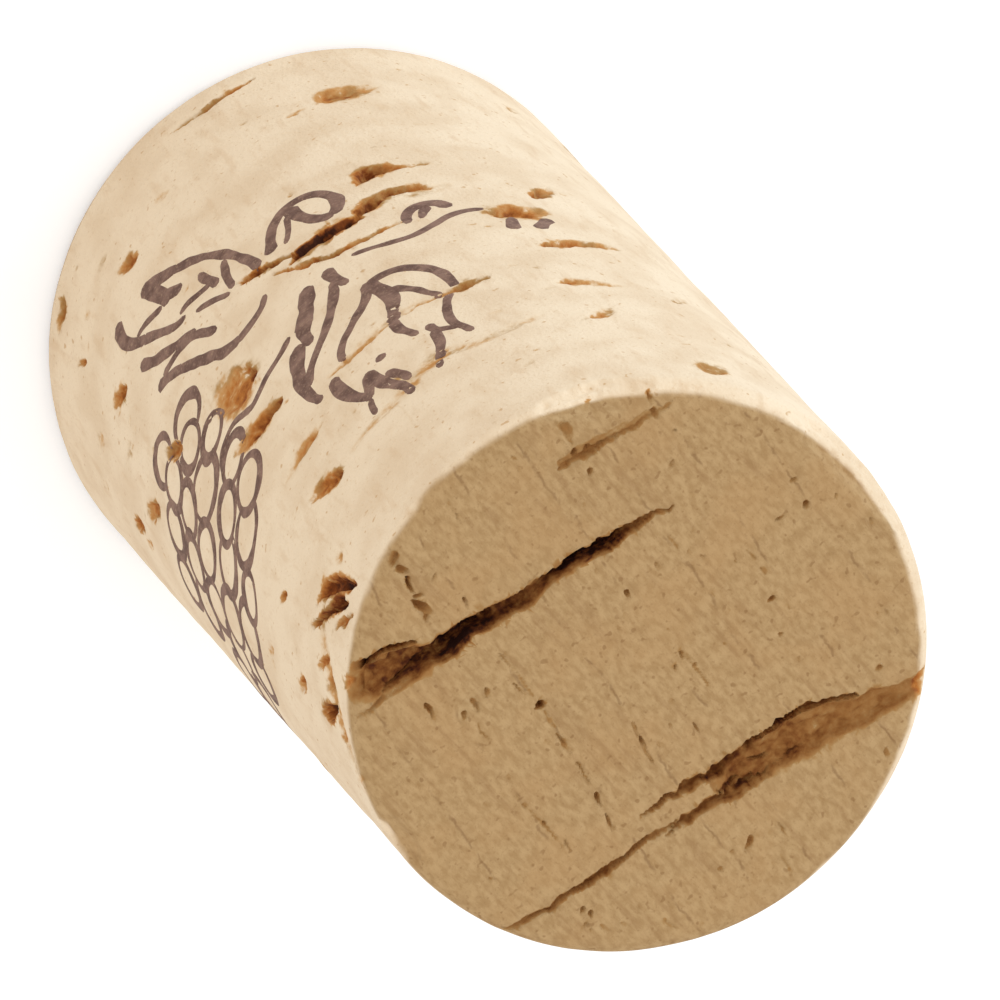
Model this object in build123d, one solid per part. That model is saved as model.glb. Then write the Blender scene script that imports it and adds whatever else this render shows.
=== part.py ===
from build123d import *
import math
import os

# A natural cork stopper, punched in one piece from the bark, along the tree's height.
# The origin is the centre of the foot, +Z runs up the axis to the top end, and the front is -Y.
# The tree's growth rings are planes across X, so they show as upright lines on the front and back.
# The bark's lenticels run along X: slits on the front, back and ends, and round pores at the sides.

# Body sizes in millimetres
BODY_DIAMETER = 24.0
BODY_LENGTH = 45.0
TOP_ROUND = 0.8
FOOT_ROUND = 0.6

# Each worn end edge turns a quarter round, in degrees, from the end to the side, in this many bevels.
# A worn place on the rim faces half-way between the two.
QUARTER_TURN = 90
EDGE_BEVELS = 3
RIM_TILT = QUARTER_TURN / 2

# Each cutting solid stands proud of the skin, and a channel's or pore's floor is smaller than its mouth
PROUD = 0.35
CHANNEL_FLOOR_SHARE = 0.3
PORE_FLOOR_SHARE = 0.45

# Ragged lens form of a pore's mouth, as shares of half its length and half its width
PORE_MOUTH = [(-1, 0.1), (-0.4, 0.9), (0.35, 1), (1, 0.15), (0.5, -0.85), (-0.45, -1)]

# Open fissures of the top end, as slices of (x, y, width, depth).
# x and y are shares of the body's radius, and width and depth are in millimetres.
DEEP_FISSURE = [
    (-0.44, -0.365, 0.15, 0.2),
    (-0.33, -0.40, 0.35, 0.7),
    (-0.20, -0.42, 0.65, 1.9),
    (-0.09, -0.443, 0.60, 2.1),
    (0.02, -0.466, 0.55, 1.0),
    (0.17, -0.488, 0.75, 1.1),
    (0.33, -0.525, 0.85, 2.4),
    (0.47, -0.545, 0.95, 1.2),
    (0.62, -0.60, 1.70, 0.9),
    (0.80, -0.69, 1.20, 0.7),
]
DEEP_FISSURE_SPUR = [
    (0.56, -0.535, 0.30, 0.6),
    (0.66, -0.548, 0.30, 0.4),
    (0.80, -0.56, 0.15, 0.2),
]
WIDE_FISSURE = [
    (-0.72, 0.745, 0.90, 0.4),
    (-0.54, 0.69, 0.90, 0.5),
    (-0.33, 0.615, 1.15, 0.7),
    (-0.17, 0.545, 1.70, 0.8),
    (-0.02, 0.515, 1.60, 0.75),
    (0.07, 0.495, 0.60, 0.3),
]
WIDE_FISSURE_LOWER_BRANCH = [
    (-0.10, 0.475, 0.60, 1.1),
    (0.04, 0.465, 0.50, 1.1),
    (0.17, 0.425, 0.40, 0.8),
    (0.33, 0.39, 0.15, 0.2),
]
WIDE_FISSURE_UPPER_BRANCH = [
    (-0.02, 0.575, 0.50, 1.0),
    (0.11, 0.535, 0.45, 0.9),
    (0.22, 0.51, 0.35, 0.6),
    (0.31, 0.505, 0.15, 0.2),
]
WIDE_FISSURE_TAIL = [
    (0.25, 0.49, 0.15, 0.2),
    (0.40, 0.462, 0.25, 0.6),
    (0.53, 0.46, 0.35, 0.7),
    (0.67, 0.425, 0.25, 0.5),
    (0.92, 0.385, 0.25, 0.4),
]
SHORT_FISSURE = [
    (-0.69, -0.645, 0.15, 0.2),
    (-0.50, -0.67, 0.25, 0.4),
    (-0.33, -0.715, 0.35, 0.7),
    (-0.24, -0.74, 0.15, 0.2),
]

# Closed lenticels of the foot, in the same form
FOOT_SLITS = [
    [(-0.78, 0.42, 0.2, 0.2), (-0.45, 0.38, 0.5, 0.9), (-0.05, 0.33, 0.3, 0.6), (0.25, 0.30, 0.2, 0.2)],
    [(-0.20, -0.44, 0.2, 0.2), (0.20, -0.51, 0.5, 1.1), (0.55, -0.56, 0.4, 0.8), (0.80, -0.63, 0.2, 0.2)],
    [(0.30, 0.66, 0.2, 0.2), (0.48, 0.62, 0.3, 0.6), (0.62, 0.60, 0.2, 0.2)],
]

# Pores of the top end, as (x, y, length, width, depth, heading).
# x and y are shares of the radius, and the heading is in degrees from +X towards +Y.
TOP_PORES = [
    (0.333, -0.158, 0.45, 0.40, 0.7, 0),
    (0.395, -0.70, 1.20, 0.40, 0.7, 100),
    (0.362, -0.90, 0.60, 0.50, 0.6, 20),
    (-0.133, -0.235, 0.50, 0.30, 0.5, 90),
    (0.485, -0.31, 0.90, 0.30, 0.5, 75),
    (0.61, -0.40, 0.90, 0.35, 0.5, 80),
    (0.28, -0.61, 0.60, 0.30, 0.5, 65),
    (-0.475, 0.125, 0.45, 0.35, 0.4, 0),
    (0.158, 0.20, 0.70, 0.25, 0.4, 75),
    (-0.34, -0.82, 1.00, 0.60, 0.4, 80),
]

# Worn places of the top rim, as slices of (angle, width, depth).
# Angles run round the axis in degrees from the front, and are positive towards +X.
RIM_CHIPS = [
    [(-106, 0.5, 0.1), (-99, 1.6, 0.35), (-88, 1.8, 0.45), (-78, 1.5, 0.35), (-72, 0.5, 0.1)],
    [(76, 0.4, 0.1), (80, 1.3, 0.35), (86, 1.3, 0.35), (90, 0.4, 0.1)],
    [(-42, 0.5, 0.1), (-37, 1.7, 0.35), (-29, 2.0, 0.45), (-22, 1.6, 0.35), (-18, 0.4, 0.1)],
]

# Cracks of the side, as slices of (angle, height, width, depth).
# Heights are shares of the body's length.
LONG_CRACK = [
    (-34, 0.416, 0.20, 0.15),
    (-31, 0.408, 0.70, 0.5),
    (-27, 0.404, 0.80, 0.6),
    (-25, 0.405, 0.30, 0.3),
    (-23, 0.411, 1.00, 1.0),
    (-21, 0.418, 0.80, 1.0),
    (-19.5, 0.425, 0.30, 0.5),
    (-17, 0.432, 0.70, 1.5),
    (-10.5, 0.436, 0.75, 1.7),
    (-6, 0.430, 0.45, 1.3),
    (-3, 0.418, 0.20, 0.4),
    (0.5, 0.410, 0.35, 0.9),
    (5, 0.395, 0.35, 0.9),
    (8, 0.385, 0.15, 0.2),
]
UPPER_CRACK = [
    (-24, 0.480, 0.20, 0.2),
    (-16, 0.483, 0.35, 0.4),
    (-10, 0.478, 0.35, 0.4),
    (-4, 0.456, 0.35, 0.4),
    (1, 0.427, 0.20, 0.2),
]
LOWER_CRACK = [
    (-38, 0.354, 0.20, 0.15),
    (-33, 0.350, 0.40, 0.2),
    (-29.5, 0.344, 0.90, 0.5),
    (-26.5, 0.344, 1.20, 0.9),
    (-24, 0.356, 0.70, 0.4),
    (-22.5, 0.362, 0.20, 0.2),
]
THIN_CRACK_LEFT = [
    (-30, 0.667, 0.30, 0.2),
    (-25, 0.673, 0.70, 0.5),
    (-21, 0.673, 0.30, 0.3),
    (-12, 0.667, 0.20, 0.15),
]
THIN_CRACK_RIGHT = [
    (-9, 0.669, 0.20, 0.15),
    (-2, 0.673, 0.40, 0.25),
    (6, 0.673, 0.15, 0.15),
]
FOOT_CRACK = [
    (-22, 0.038, 0.15, 0.2),
    (-16, 0.042, 0.40, 0.4),
    (-9, 0.049, 0.40, 0.3),
    (-3, 0.047, 0.15, 0.15),
]

# Torn arms of the ragged hollow below the top rim, in the same form
TORN_HOLLOW = [
    [
        (31, 0.96, 0.3, 0.2),
        (33, 0.935, 0.6, 0.8),
        (34.5, 0.91, 0.7, 0.9),
        (37, 0.89, 0.7, 0.8),
        (40, 0.88, 0.2, 0.2),
    ],
    [
        (35, 0.955, 0.3, 0.2),
        (37, 0.93, 0.7, 1.1),
        (40, 0.913, 0.5, 1),
        (43, 0.893, 0.4, 0.8),
        (45, 0.87, 0.2, 0.2),
    ],
    [(36, 0.976, 0.2, 0.2), (38.5, 0.956, 0.5, 0.4), (41, 0.94, 0.2, 0.2)],
    [(56, 0.95, 0.2, 0.2), (58, 0.93, 0.7, 1.1), (60, 0.91, 0.6, 0.8), (62, 0.89, 0.2, 0.2)],
]

# Pores of the side, as (angle, height, length, width, depth, slant).
# The slant is in degrees from level, and positive where the pore rises towards larger angles.
FRONT_PORES = [
    (-58, 0.938, 2.0, 1.30, 0.25, 60),
    (-45, 0.800, 1.8, 0.60, 0.25, 45),
    (-48, 0.711, 2.8, 0.80, 0.30, 0),
    (-67, 0.704, 1.9, 0.50, 0.20, 50),
    (-54, 0.589, 4.0, 0.80, 0.50, 20),
    (-47, 0.502, 2.6, 1.50, 0.50, 15),
    (-56, 0.431, 2.3, 0.70, 0.50, 55),
    (-35, 0.133, 2.5, 1.40, 0.35, 5),
    (22, 0.802, 2.4, 0.90, 0.60, -40),
    (21, 0.718, 2.6, 0.90, 0.20, -5),
    (25, 0.598, 3.6, 1.00, 0.60, -35),
    (23, 0.509, 3.6, 2.20, 0.35, -70),
    (21, 0.156, 1.5, 0.80, 0.50, -60),
    (48, 0.992, 1.7, 0.60, 0.60, -50),
    (50, 0.909, 1.7, 0.50, 0.60, -60),
    (53, 0.931, 1.3, 0.60, 0.30, -60),
    (61, 0.962, 1.2, 0.40, 0.40, -60),
    (60, 0.831, 1.4, 0.60, 0.60, -60),
    (46, 0.778, 1.2, 0.40, 0.40, -55),
    (42, 0.416, 2.4, 0.70, 0.50, -65),
    (59, 0.347, 2.4, 0.80, 0.50, -65),
    (68, 0.267, 2.4, 0.70, 0.70, -65),
    (43, 0.238, 1.8, 0.80, 0.60, -50),
    (45, 0.116, 1.4, 0.35, 0.50, -65),
    (41, 0.040, 1.4, 0.80, 0.40, -10),
]
BACK_PORES = [
    (88, 0.74, 1.2, 0.70, 0.50, -30),
    (98, 0.55, 1.3, 0.80, 0.60, -20),
    (104, 0.86, 1.6, 0.70, 0.50, 10),
    (112, 0.30, 1.5, 0.90, 0.50, 15),
    (120, 0.66, 2.6, 0.60, 0.50, 5),
    (133, 0.12, 3.0, 0.60, 0.40, -4),
    (140, 0.47, 4.2, 0.70, 0.70, 6),
    (152, 0.88, 2.2, 0.50, 0.40, -6),
    (160, 0.27, 3.4, 0.60, 0.50, 4),
    (172, 0.60, 5.0, 0.60, 0.80, -5),
    (184, 0.15, 2.4, 0.50, 0.40, 3),
    (190, 0.80, 3.6, 0.70, 0.60, 5),
    (203, 0.40, 4.4, 0.80, 0.70, -4),
    (215, 0.70, 2.0, 0.50, 0.40, 8),
    (228, 0.22, 2.8, 0.70, 0.50, -8),
    (236, 0.54, 1.8, 0.70, 0.50, 12),
    (246, 0.86, 1.5, 0.80, 0.50, -15),
    (255, 0.35, 1.4, 0.80, 0.60, 20),
    (264, 0.64, 1.2, 0.70, 0.50, -25),
    (272, 0.10, 1.3, 0.80, 0.50, 10),
]

RADIUS = BODY_DIAMETER / 2
UP = Vector(0, 0, 1)
DOWN = Vector(0, 0, -1)


def outward_at(angle):
    """Direction straight out of the side, at an angle from the front."""
    turn = math.radians(angle)
    return Vector(math.sin(turn), -math.cos(turn), 0)


def point_on_side(angle, height):
    """Point on the side, with its height as a share of the length."""
    return outward_at(angle) * RADIUS + UP * (height * BODY_LENGTH)


def point_on_end(x_share, y_share, height):
    """Point on an end, with x and y as shares of the radius."""
    return Vector(x_share * RADIUS, y_share * RADIUS, height)


def slice_outline(width, depth):
    """Wedge that opens to the skin: upright above it, and narrowing to a floor below it."""
    mouth = width / 2
    floor = mouth * CHANNEL_FLOOR_SHARE
    corners = [(-mouth, PROUD), (-mouth, 0), (-floor, -depth), (floor, -depth), (mouth, 0), (mouth, PROUD)]
    return make_face(Polyline(*corners, close=True))


def channel(places, outwards, widths, depths):
    """Solid of one channel: wedges set square to its line on the skin, and lofted in turn."""
    slices = []
    for index, place in enumerate(places):
        behind = places[max(index - 1, 0)]
        ahead = places[min(index + 1, len(places) - 1)]
        outward = outwards[index]
        along = ahead - behind
        along = along - outward * along.dot(outward)
        across = outward.cross(along)
        plane = Plane(origin=place, x_dir=across, z_dir=along)
        slices.append(plane * slice_outline(widths[index], depths[index]))
    return loft(slices, ruled=True)


def end_channel(slices, height, outward):
    """Channel on an end, from slices of (x, y, width, depth)."""
    places = [point_on_end(x, y, height) for x, y, width, depth in slices]
    widths = [width for x, y, width, depth in slices]
    depths = [depth for x, y, width, depth in slices]
    return channel(places, [outward] * len(slices), widths, depths)


def side_channel(slices):
    """Channel on the side, from slices of (angle, height, width, depth)."""
    places = [point_on_side(angle, height) for angle, height, width, depth in slices]
    outwards = [outward_at(angle) for angle, height, width, depth in slices]
    widths = [width for angle, height, width, depth in slices]
    depths = [depth for angle, height, width, depth in slices]
    return channel(places, outwards, widths, depths)


def rim_chip(slices):
    """Worn place on the rounded top rim, from slices of (angle, width, depth)."""
    inset = TOP_ROUND * (1 - math.cos(math.radians(RIM_TILT)))
    rim = UP * (BODY_LENGTH - inset)
    places = [outward_at(angle) * (RADIUS - inset) + rim for angle, width, depth in slices]
    outwards = [(outward_at(angle) + UP).normalized() for angle, width, depth in slices]
    widths = [width for angle, width, depth in slices]
    depths = [depth for angle, width, depth in slices]
    return channel(places, outwards, widths, depths)


def pore(place, outward, along, length, width, depth):
    """Solid of one pore: its mouth goes straight through the skin, then narrows to a flat floor."""
    plane = Plane(origin=place, x_dir=along, z_dir=outward)
    mouth_corners = [(x * length / 2, y * width / 2) for x, y in PORE_MOUTH]
    floor_corners = [(x * PORE_FLOOR_SHARE, y * PORE_FLOOR_SHARE) for x, y in mouth_corners]
    mouth = make_face(Polyline(*mouth_corners, close=True))
    floor = make_face(Polyline(*floor_corners, close=True))
    return loft([plane.offset(PROUD) * mouth, plane * mouth, plane.offset(-depth) * floor], ruled=True)


def end_pore(x_share, y_share, length, width, depth, heading):
    """Pore on the top end, turned to its heading."""
    turn = math.radians(heading)
    along = Vector(math.cos(turn), math.sin(turn), 0)
    return pore(point_on_end(x_share, y_share, BODY_LENGTH), UP, along, length, width, depth)


def side_pore(angle, height, length, width, depth, slant):
    """Pore on the side, turned to its slant."""
    turn = math.radians(slant)
    outward = outward_at(angle)
    along = UP.cross(outward) * math.cos(turn) + UP * math.sin(turn)
    return pore(point_on_side(angle, height), outward, along, length, width, depth)


def worn_edge(size, end_height, inward):
    """Profile points of one worn end edge, from the end's face to the side. Inward is 1 or -1 along Z."""
    points = []
    for bevel in range(EDGE_BEVELS + 1):
        turn = math.radians(QUARTER_TURN * bevel / EDGE_BEVELS)
        x = RADIUS - size * (1 - math.sin(turn))
        z = end_height + inward * size * (1 - math.cos(turn))
        points.append((x, z))
    return points


def body_blank():
    """Plain punched cylinder, with both end edges worn round."""
    foot_edge = worn_edge(FOOT_ROUND, 0, 1)
    top_edge = worn_edge(TOP_ROUND, BODY_LENGTH, -1)
    outline = Polyline((0, 0), *foot_edge, *reversed(top_edge), (0, BODY_LENGTH), close=True)
    return revolve(Plane.XZ * make_face(outline), Axis.Z)


def end_cuts():
    """Fissures, lenticels and pores of the two ends."""
    top_fissures = [
        DEEP_FISSURE,
        DEEP_FISSURE_SPUR,
        WIDE_FISSURE,
        WIDE_FISSURE_LOWER_BRANCH,
        WIDE_FISSURE_UPPER_BRANCH,
        WIDE_FISSURE_TAIL,
        SHORT_FISSURE,
    ]
    cuts = [end_channel(slices, BODY_LENGTH, UP) for slices in top_fissures]
    cuts += [end_channel(slices, 0, DOWN) for slices in FOOT_SLITS]
    cuts += [end_pore(*values) for values in TOP_PORES]
    return cuts


def side_cuts():
    """Cracks and pores of the side, and the worn places of the rim."""
    side_cracks = [LONG_CRACK, UPPER_CRACK, LOWER_CRACK, THIN_CRACK_LEFT, THIN_CRACK_RIGHT, FOOT_CRACK]
    cuts = [side_channel(slices) for slices in side_cracks + TORN_HOLLOW]
    cuts += [side_pore(*values) for values in FRONT_PORES + BACK_PORES]
    cuts += [rim_chip(slices) for slices in RIM_CHIPS]
    return cuts


def cork_stopper():
    """The whole stopper."""
    return body_blank() - (end_cuts() + side_cuts())


os.makedirs("parts", exist_ok=True)
export_step(cork_stopper(), "parts/cork_stopper.step")
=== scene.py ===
import itertools
import math
import bpy
import numpy as np
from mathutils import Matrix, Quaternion, Vector
from mathutils.bvhtree import BVHTree


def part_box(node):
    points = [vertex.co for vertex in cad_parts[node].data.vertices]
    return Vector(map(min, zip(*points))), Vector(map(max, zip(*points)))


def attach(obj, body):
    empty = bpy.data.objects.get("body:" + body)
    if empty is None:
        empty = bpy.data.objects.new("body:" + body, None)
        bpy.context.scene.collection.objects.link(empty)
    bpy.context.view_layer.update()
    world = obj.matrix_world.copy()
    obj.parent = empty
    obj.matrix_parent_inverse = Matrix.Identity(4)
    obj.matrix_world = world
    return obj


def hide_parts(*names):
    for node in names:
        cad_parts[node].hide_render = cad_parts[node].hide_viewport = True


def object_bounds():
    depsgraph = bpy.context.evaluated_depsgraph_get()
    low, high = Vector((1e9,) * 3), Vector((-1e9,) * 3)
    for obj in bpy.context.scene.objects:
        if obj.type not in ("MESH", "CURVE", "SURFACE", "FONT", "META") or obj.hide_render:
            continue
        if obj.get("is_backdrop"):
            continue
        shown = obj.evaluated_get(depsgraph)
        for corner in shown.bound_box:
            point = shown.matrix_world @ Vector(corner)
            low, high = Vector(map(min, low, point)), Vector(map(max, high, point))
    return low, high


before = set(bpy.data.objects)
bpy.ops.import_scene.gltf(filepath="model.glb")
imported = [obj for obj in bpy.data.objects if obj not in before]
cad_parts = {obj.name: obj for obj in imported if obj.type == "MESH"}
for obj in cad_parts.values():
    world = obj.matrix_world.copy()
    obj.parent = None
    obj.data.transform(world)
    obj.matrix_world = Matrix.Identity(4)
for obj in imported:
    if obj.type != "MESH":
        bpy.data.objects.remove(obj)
cad_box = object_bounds()

# Shapes are worked out in millimetres, and become metres when their mesh is made.
MM = 0.001

# Radius and length of the body, from the frame
cad_low, cad_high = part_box("cork_stopper")
RADIUS = (cad_high[0] - cad_low[0]) / 2 / MM
LENGTH = (cad_high[2] - cad_low[2]) / MM
TOP_ROUND = 0.8
FOOT_ROUND = 0.6

# Channels that open on the top end and on the foot, as in the frame, where the short one is larger.
# Slices are (x, y, width, depth): x and y are shares of the radius, the rest is in millimetres.
DEEP_FISSURE = [
    (-0.44, -0.365, 0.15, 0.2),
    (-0.33, -0.4, 0.35, 0.7),
    (-0.2, -0.42, 0.65, 1.9),
    (-0.09, -0.443, 0.6, 2.1),
    (0.02, -0.466, 0.55, 1),
    (0.17, -0.488, 0.75, 1.1),
    (0.33, -0.525, 0.85, 2.4),
    (0.47, -0.545, 0.95, 1.2),
    (0.62, -0.6, 1.7, 0.9),
    (0.8, -0.69, 1.2, 0.7),
]
DEEP_FISSURE_SPUR = [
    (0.56, -0.535, 0.3, 0.6),
    (0.66, -0.548, 0.3, 0.4),
    (0.8, -0.56, 0.15, 0.2),
]
WIDE_FISSURE = [
    (-0.72, 0.745, 0.9, 0.4),
    (-0.54, 0.69, 0.9, 0.5),
    (-0.33, 0.615, 1.15, 0.7),
    (-0.17, 0.545, 1.7, 0.8),
    (-0.02, 0.515, 1.6, 0.75),
    (0.07, 0.495, 0.6, 0.3),
]
WIDE_FISSURE_LOWER_BRANCH = [
    (-0.1, 0.475, 0.6, 1.1),
    (0.04, 0.465, 0.5, 1.1),
    (0.17, 0.425, 0.4, 0.8),
    (0.33, 0.39, 0.15, 0.2),
]
WIDE_FISSURE_UPPER_BRANCH = [
    (-0.02, 0.575, 0.5, 1),
    (0.11, 0.535, 0.45, 0.9),
    (0.22, 0.51, 0.35, 0.6),
    (0.31, 0.505, 0.15, 0.2),
]
WIDE_FISSURE_TAIL = [
    (0.25, 0.49, 0.15, 0.2),
    (0.4, 0.462, 0.25, 0.6),
    (0.53, 0.46, 0.35, 0.7),
    (0.67, 0.425, 0.25, 0.5),
    (0.92, 0.385, 0.25, 0.4),
]
SHORT_FISSURE = [
    (-0.69, -0.645, 0.12, 0.15),
    (-0.5, -0.67, 0.18, 0.3),
    (-0.33, -0.715, 0.28, 0.55),
    (-0.24, -0.74, 0.12, 0.2),
]
# Too fine for the frame: a torn shelf beside the wide fissure, then deeper edges of the large two
FISSURE_EDGES = [
    [(-0.6, 0.7, 0.5, 0.4), (-0.47, 0.63, 0.8, 0.5),
     (-0.35, 0.57, 0.9, 0.6), (-0.22, 0.53, 0.9, 0.6)],
    [(-0.47, 0.585, 0.15, 0.5), (-0.33, 0.515, 0.3, 1.1),
     (-0.22, 0.485, 0.35, 1.4), (-0.15, 0.47, 0.22, 0.8)],
    [(-0.15, 0.47, 0.22, 0.8), (-0.08, 0.455, 0.3, 1.3), (0.02, 0.475, 0.25, 1.1)],
    [(-0.3, 0.63, 0.12, 0.5), (-0.18, 0.6, 0.18, 1),
     (-0.1, 0.59, 0.12, 0.6), (-0.02, 0.585, 0.25, 1.1)],
    [(-0.16, 0.53, 0.12, 0.6), (-0.11, 0.555, 0.2, 1.3), (-0.06, 0.52, 0.15, 0.9)],
    [(-0.03, 0.55, 0.12, 0.6), (0.03, 0.535, 0.22, 1.2), (0.08, 0.52, 0.12, 0.6)],
    [(0.38, -0.53, 0.3, 1.3), (0.5, -0.54, 0.32, 1.7),
     (0.6, -0.552, 0.25, 1.6), (0.67, -0.56, 0.15, 0.8)],
    [(0.49, -0.62, 0.15, 0.8), (0.57, -0.665, 0.3, 1.5),
     (0.65, -0.695, 0.35, 1.6), (0.72, -0.7, 0.2, 1)],
]
# Shallow stain about the short fissure
SHORT_FISSURE_STAIN = [
    (-0.66, -0.655, 0.2, 0.1),
    (-0.5, -0.685, 0.35, 0.16),
    (-0.36, -0.725, 0.55, 0.22),
    (-0.26, -0.750, 0.3, 0.2),
]
TOP_CHANNELS = FISSURE_EDGES + [
    DEEP_FISSURE, DEEP_FISSURE_SPUR, SHORT_FISSURE, SHORT_FISSURE_STAIN,
    WIDE_FISSURE, WIDE_FISSURE_LOWER_BRANCH, WIDE_FISSURE_UPPER_BRANCH, WIDE_FISSURE_TAIL,
]
FOOT_CHANNELS = [
    [(-0.78, 0.42, 0.2, 0.2), (-0.45, 0.38, 0.5, 0.9), (-0.05, 0.33, 0.3, 0.6), (0.25, 0.3, 0.2, 0.2)],
    [(-0.2, -0.44, 0.2, 0.2), (0.2, -0.51, 0.5, 1.1), (0.55, -0.56, 0.4, 0.8), (0.8, -0.63, 0.2, 0.2)],
    [(0.3, 0.66, 0.2, 0.2), (0.48, 0.62, 0.3, 0.6), (0.62, 0.6, 0.2, 0.2)],
]

# Pores of the top end: (x, y, length, width, depth, heading), with the heading in degrees from +X.
# The frame has the first ten, most of them a little larger. The finer ones after them are only here.
TOP_PORES = [
    (0.333, -0.158, 0.42, 0.34, 0.9, 0),
    (0.395, -0.7, 1.2, 0.32, 0.6, 100),
    (0.362, -0.9, 0.6, 0.4, 0.5, 20),
    (-0.133, -0.235, 0.4, 0.24, 0.45, 90),
    (0.485, -0.31, 0.8, 0.22, 0.35, 75),
    (0.61, -0.4, 0.9, 0.22, 0.4, 80),
    (0.28, -0.61, 0.6, 0.2, 0.35, 65),
    (-0.475, 0.125, 0.35, 0.25, 0.35, 0),
    (0.158, 0.2, 0.6, 0.2, 0.4, 75),
    (-0.345, -0.81, 1, 0.4, 0.35, 75),
    (-0.133, 0.06, 0.3, 0.22, 0.3, 90),
    (-0.083, 0.075, 0.3, 0.22, 0.3, 60),
    (-0.142, 0.117, 0.25, 0.2, 0.2, 0),
    (-0.883, 0.167, 0.5, 0.18, 0.2, 50),
    (-0.767, -0.04, 0.3, 0.25, 0.4, 70),
    (-0.683, -0.067, 0.6, 0.18, 0.25, 160),
    (-0.79, -0.14, 0.35, 0.25, 0.3, 0),
    (0.433, -0.317, 0.5, 0.22, 0.35, 60),
    (0.533, -0.308, 0.5, 0.22, 0.35, 60),
    (0.3, -0.75, 0.4, 0.2, 0.2, 20),
    (0.375, -0.79, 0.8, 0.2, 0.55, 70),
    (0.358, -0.85, 0.6, 0.28, 0.5, 100),
    (0.41, -0.66, 0.4, 0.16, 0.35, 30),
    (0.378, -0.745, 0.5, 0.18, 0.4, 150),
    (0.345, -0.94, 0.5, 0.2, 0.35, 70),
    (-0.342, -0.72, 0.5, 0.35, 0.6, 10),
    (-0.31, -0.74, 0.4, 0.25, 0.7, 60),
    (-0.598, -0.655, 0.45, 0.28, 0.45, 60),
    (-0.627, -0.709, 0.6, 0.28, 0.35, 60),
    (-0.305, -0.655, 0.45, 0.26, 0.4, 60),
    (-0.524, -0.473, 0.5, 0.2, 0.25, 20),
    (-0.466, -0.845, 0.8, 0.25, 0.2, 30),
    (0.583, 0.183, 0.45, 0.18, 0.25, 60),
    (0.583, 0.083, 0.5, 0.18, 0.2, 90),
    (0.708, 0.55, 0.4, 0.2, 0.25, 20),
    (0.667, 0.533, 0.3, 0.22, 0.4, 80),
    (0.685, 0.5, 0.25, 0.2, 0.35, 30),
    (0.125, 0.733, 0.8, 0.2, 0.4, 30),
    (-0.583, 0.575, 0.4, 0.22, 0.3, 20),
    (-0.408, 0.25, 0.3, 0.2, 0.2, 20),
    (-0.42, 0.83, 0.5, 0.25, 0.2, 60),
    (0.42, 0.33, 1, 0.14, 0.26, 75),
    (0.395, 0.24, 0.8, 0.2, 0.36, 80),
    (0.37, 0.13, 1.3, 0.13, 0.24, 82),
    (0.352, 0.01, 1.2, 0.15, 0.3, 85),
    (0.342, -0.24, 1, 0.13, 0.22, 90),
    (0.315, -0.34, 1.3, 0.13, 0.22, 85),
    (0.01, 0.78, 0.9, 0.14, 0.2, 80),
    (0, 0.29, 0.6, 0.15, 0.22, 80),
    (0.575, 0.3, 0.8, 0.15, 0.22, 80),
]

# Rows of fine pores along the growth rings of the top end, through these (x, y) as shares of the radius
RING_PORES = [
    [(0.42, 0.36), (0.385, 0.21), (0.35, 0.04), (0.335, -0.08), (0.32, -0.25), (0.3, -0.38)],
    [(-0.11, 0.3), (-0.135, 0.17), (-0.145, 0.04), (-0.16, -0.07)],
    [(0.18, 0.275), (0.165, 0.19), (0.14, 0.125)],
    [(0.085, 0.91), (0.06, 0.79), (0.045, 0.72)],
    [(0.59, 0.33), (0.583, 0.17), (0.59, 0.04), (0.55, -0.08), (0.52, -0.25)],
    [(0.66, 0.69), (0.665, 0.575)],
    [(-0.5, 0.2), (-0.515, 0.03), (-0.53, -0.17)],
    [(-0.34, 0.08), (-0.36, -0.29)],
    [(0.49, 0.79), (0.5, 0.73)],
    [(0.31, -0.58), (0.275, -0.63)],
    [(-0.33, -0.75), (-0.345, -0.95)],
]
# Width and depth of those rows
RING_PORE_SIZE = (0.15, 0.12)

# Worn places of the top rim: (angle, width, depth)
RIM_CHIPS = [
    [(-106, 0.5, 0.1), (-99, 1.6, 0.35), (-88, 1.8, 0.45), (-78, 1.5, 0.35), (-72, 0.5, 0.1)],
    [(76, 0.4, 0.1), (80, 1.3, 0.35), (86, 1.3, 0.35), (90, 0.4, 0.1)],
    [(-42, 0.5, 0.1), (-37, 1.7, 0.35), (-29, 2, 0.45), (-22, 1.6, 0.35), (-18, 0.4, 0.1)],
]

# Cracks of the side: (angle, height, width, depth), with the angle in degrees from the front,
# positive towards +X, and the height as a share of the length
LONG_CRACK = [
    (-34, 0.416, 0.2, 0.15),
    (-31, 0.408, 0.7, 0.5),
    (-27, 0.404, 0.8, 0.6),
    (-25, 0.405, 0.3, 0.3),
    (-23, 0.411, 1, 1),
    (-21, 0.418, 0.8, 1),
    (-19.5, 0.425, 0.3, 0.5),
    (-17, 0.432, 0.7, 1.5),
    (-10.5, 0.436, 0.75, 1.7),
    (-6, 0.430, 0.45, 1.3),
    (-3, 0.418, 0.2, 0.4),
    (0.5, 0.410, 0.35, 0.9),
    (5, 0.395, 0.35, 0.9),
    (8, 0.385, 0.15, 0.2),
]
UPPER_CRACK = [
    (-24, 0.480, 0.2, 0.2),
    (-16, 0.483, 0.35, 0.4),
    (-10, 0.478, 0.35, 0.4),
    (-4, 0.456, 0.35, 0.4),
    (1, 0.427, 0.2, 0.2),
]
LOWER_CRACK = [
    (-38, 0.354, 0.2, 0.15),
    (-33, 0.350, 0.4, 0.2),
    (-29.5, 0.344, 0.9, 0.5),
    (-26.5, 0.344, 1.2, 0.9),
    (-24, 0.356, 0.7, 0.4),
    (-22.5, 0.362, 0.2, 0.2),
]
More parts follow.
